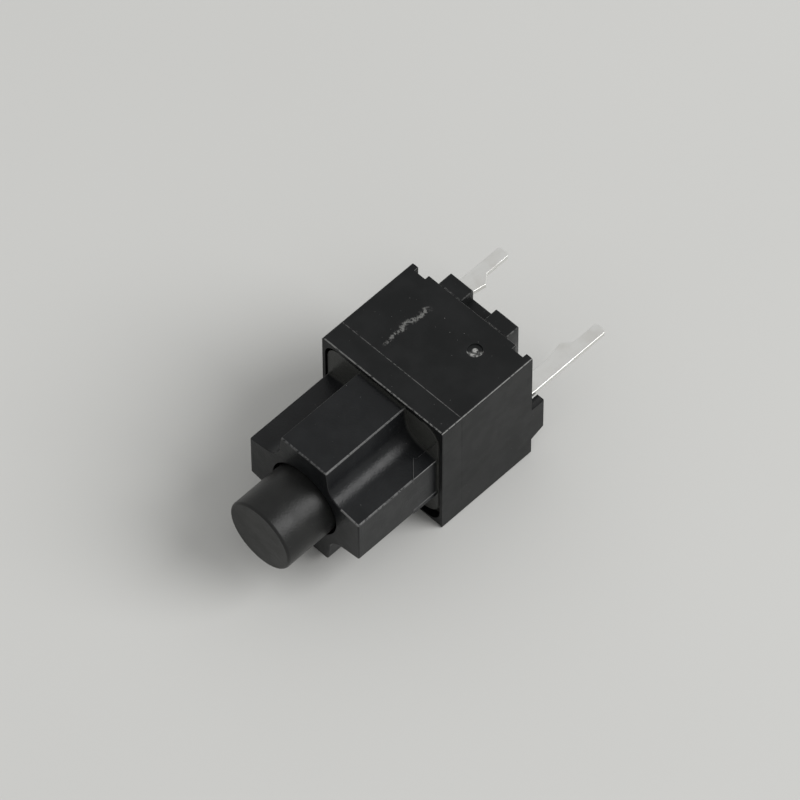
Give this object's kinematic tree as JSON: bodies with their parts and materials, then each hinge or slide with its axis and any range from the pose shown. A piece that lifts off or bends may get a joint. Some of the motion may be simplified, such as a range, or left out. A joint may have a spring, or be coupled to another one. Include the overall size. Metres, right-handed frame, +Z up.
{
  "type": "push-button micro switch",
  "caption": "Small square-bodied push-button micro switch with a ribbed barrel, a round button and flat blade terminals.",
  "frame": {"origin": "middle of the case's lower side, which it rests on", "axes": "+Y from the button to the terminals, +Z up, +X to the right seen from the button"},
  "size_m": [0.0086, 0.0213, 0.0084],
  "materials": {
    "case_plastic": "satin moulded",
    "barrel_plastic": "semi-gloss moulded",
    "button_plastic": "fine matt moulded",
    "spring_steel": "drawn wire",
    "bronze": "rolled sheet",
    "silver": "plain",
    "tinned_brass": "tin plated"
  },
  "bodies": {
    "case": {"housing": "case_plastic", "front_frame": "case_plastic", "barrel": "barrel_plastic", "base": "case_plastic", "terminal_left": "tinned_brass", "terminal_right": "tinned_brass", "fixed_contact_left": "silver", "fixed_contact_right": "silver", "return_spring": "spring_steel"},
    "plunger": {"button": "button_plastic", "retaining_clip": "spring_steel", "contact_spring": "spring_steel"},
    "bridge": {"contact_bridge": "bronze", "moving_contact_left": "silver", "moving_contact_right": "silver"}
  },
  "joints": [
    {"name": "button_slide", "type": "slide", "parent": "case", "child": "plunger", "axis": [0, 1, 0], "range_m": [0, 0.0014], "stiffness_N_per_m": 400, "springref_m": -0.001, "deforming": ["return_spring"]},
    {"name": "bridge_slide", "type": "slide", "parent": "case", "child": "bridge", "axis": [0, 1, 0], "range_m": [0, 0.0009], "deforming": ["contact_spring"]}
  ],
  "couplings": [
    {"joint": "bridge_slide", "follows": "button_slide", "ratio": 0.6428}
  ]
}
